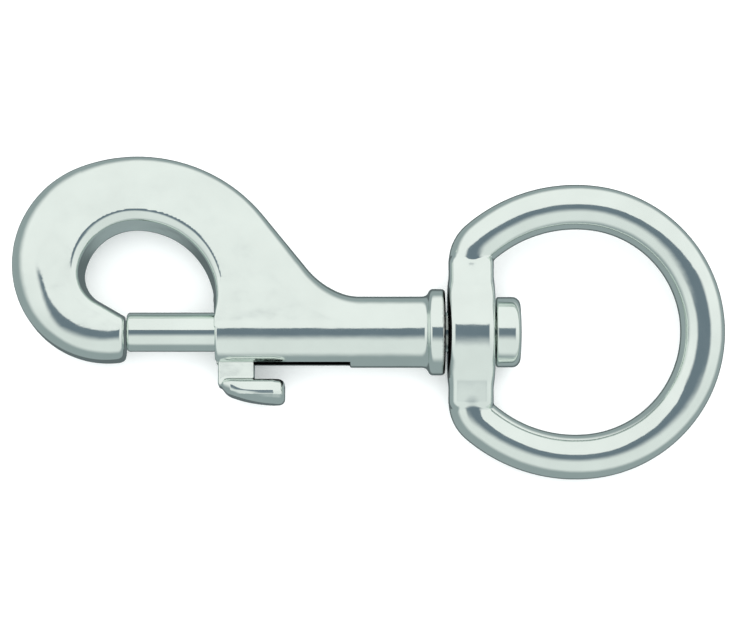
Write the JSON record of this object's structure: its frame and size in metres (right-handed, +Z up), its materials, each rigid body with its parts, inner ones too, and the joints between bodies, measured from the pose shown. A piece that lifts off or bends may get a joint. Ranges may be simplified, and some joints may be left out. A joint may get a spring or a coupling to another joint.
{
  "type": "swivel bolt snap",
  "caption": "Cast swivel bolt snap: rounded hook, spring-loaded bolt drawn back by a thumb trigger, and a round eye that turns on a headed stud.",
  "frame": {"origin": "centre of the eye's round opening, on the common axis of barrel, bolt and swivel", "axes": "+X from the hook to the eye along that axis, +Y across the hook towards its crown, +Z up with the snap lying on its side"},
  "size_m": [0.0891, 0.0402, 0.0108],
  "materials": {
    "cast_plated": "bright nickel plate on a die casting, faint waviness",
    "bolt_plated": "bright nickel plate on a turned pin",
    "trigger_plated": "bright nickel plate on a small casting",
    "spring_wire": "drawn spring wire, dull",
    "stud_plated": "bright nickel plate on a headed stud",
    "eye_plated": "bright nickel plate on a casting"
  },
  "bodies": {
    "body": {"snap_body": "cast_plated", "swivel_stud": "stud_plated", "bolt_spring": "spring_wire"},
    "bolt": {"bolt": "bolt_plated", "thumb_trigger": "trigger_plated"},
    "eye": {"swivel_eye": "eye_plated"}
  },
  "joints": [
    {"name": "bolt_slide", "type": "slide", "parent": "body", "child": "bolt", "axis": [1, 0, 0], "range_m": [0, 0.0117], "stiffness_N_per_m": 600, "springref_m": -0.008, "deforming": ["bolt_spring"]},
    {"name": "eye_swivel", "type": "hinge", "parent": "body", "child": "eye", "pos_m": [0, 0, 0], "axis": [1, 0, 0], "continuous": true}
  ]
}
